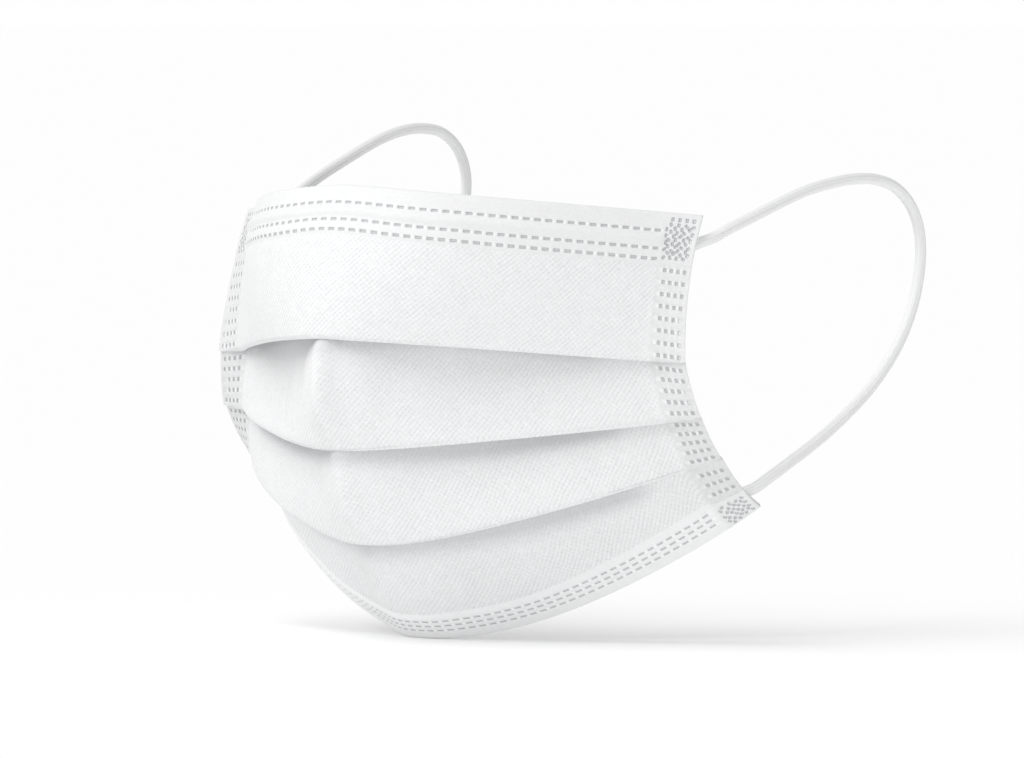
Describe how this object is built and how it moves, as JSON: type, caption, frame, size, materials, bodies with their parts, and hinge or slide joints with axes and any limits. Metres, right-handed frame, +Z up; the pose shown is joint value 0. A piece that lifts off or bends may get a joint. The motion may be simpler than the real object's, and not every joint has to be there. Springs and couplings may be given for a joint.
{
  "type": "pleated face mask",
  "caption": "Disposable pleated face mask in its worn, bowed-out shape, with folded hems and round elastic ear loops.",
  "frame": {"origin": "middle of the nose hem's inner face, where it rests on the bridge of the nose", "axes": "+X towards the wearer's left, +Y towards the face (the outside of the mask looks along -Y), +Z up"},
  "size_m": [0.1544, 0.1645, 0.13],
  "materials": {
    "embossed_cloth": "white non-woven cloth with a fine diagonal emboss",
    "smooth_cloth": "smooth white non-woven cloth with welded rows of dashes",
    "elastic": "white knitted round elastic"
  },
  "bodies": {
    "root": {"pleated_panel": "embossed_cloth", "nose_hem": "smooth_cloth", "chin_hem": "smooth_cloth", "left_ear_loop": "elastic", "right_ear_loop": "elastic", "loop_pad_upper_left": "elastic", "loop_pad_lower_left": "elastic", "loop_pad_upper_right": "elastic", "loop_pad_lower_right": "elastic"}
  },
  "joints": []
}
